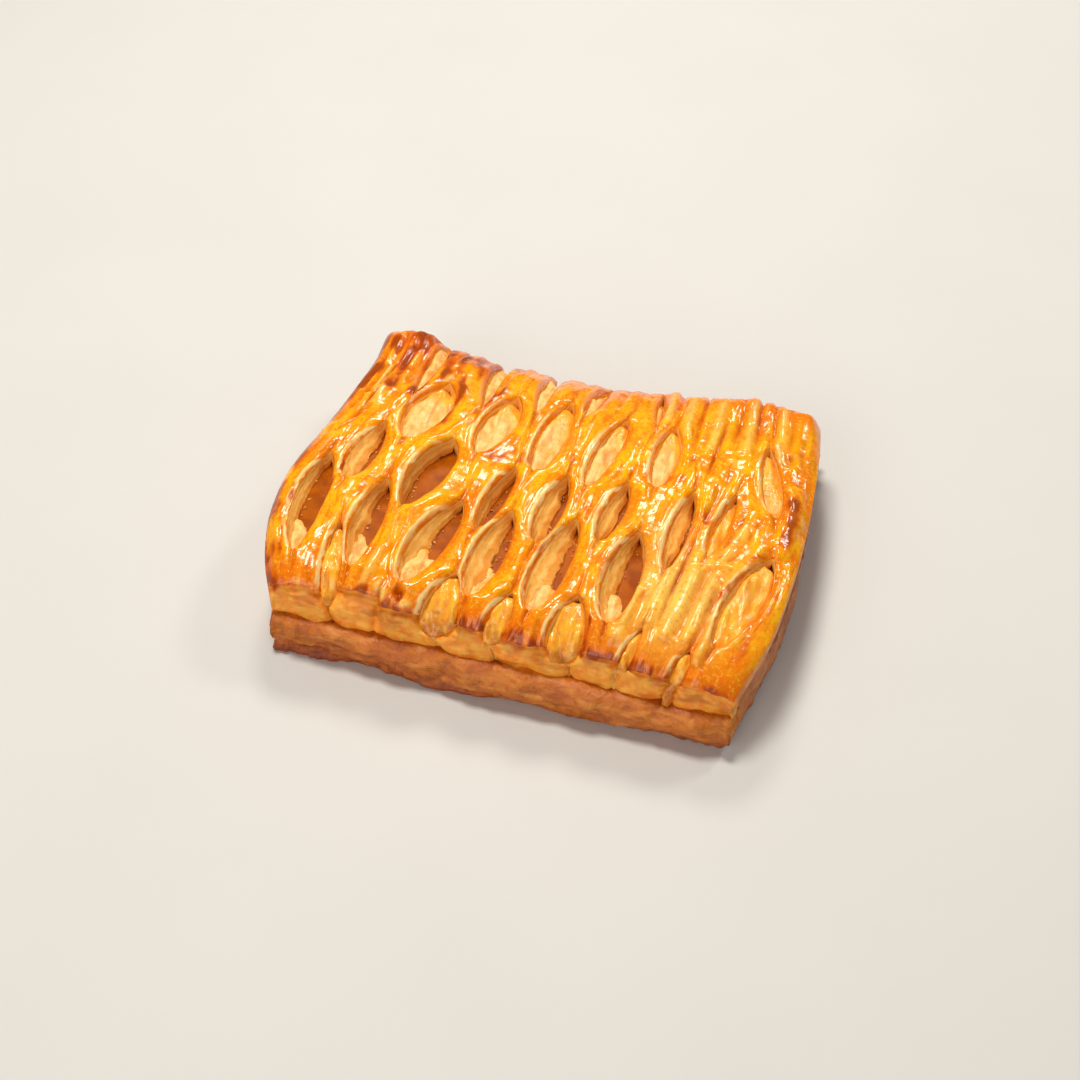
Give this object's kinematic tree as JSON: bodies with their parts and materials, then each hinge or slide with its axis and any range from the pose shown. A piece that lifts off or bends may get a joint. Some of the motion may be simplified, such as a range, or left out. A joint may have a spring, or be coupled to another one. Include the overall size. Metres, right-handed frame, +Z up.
{
  "type": "danish pastry",
  "caption": "Oblong baked danish pastry: a glazed lattice sheet over a jelly filling that runs through to both cut ends of a bottom sheet.",
  "frame": {"origin": "middle of the flat underside, which rests on the table", "axes": "+X along the length towards the right cut end, -Y towards the front side, +Z up"},
  "size_m": [0.13, 0.1, 0.0285],
  "materials": {
    "baked_dough": "dry baked dough, pale orange-brown with darker flecks and layer lines",
    "fruit_jelly": "deep amber jelly, glossy and slightly clear",
    "glazed_crust": "golden crust under a thin wet glaze, browned on its ridges and tab ends"
  },
  "bodies": {
    "root": {"pastry_base": "baked_dough", "fruit_filling": "fruit_jelly", "lattice_top": "glazed_crust"}
  },
  "joints": []
}
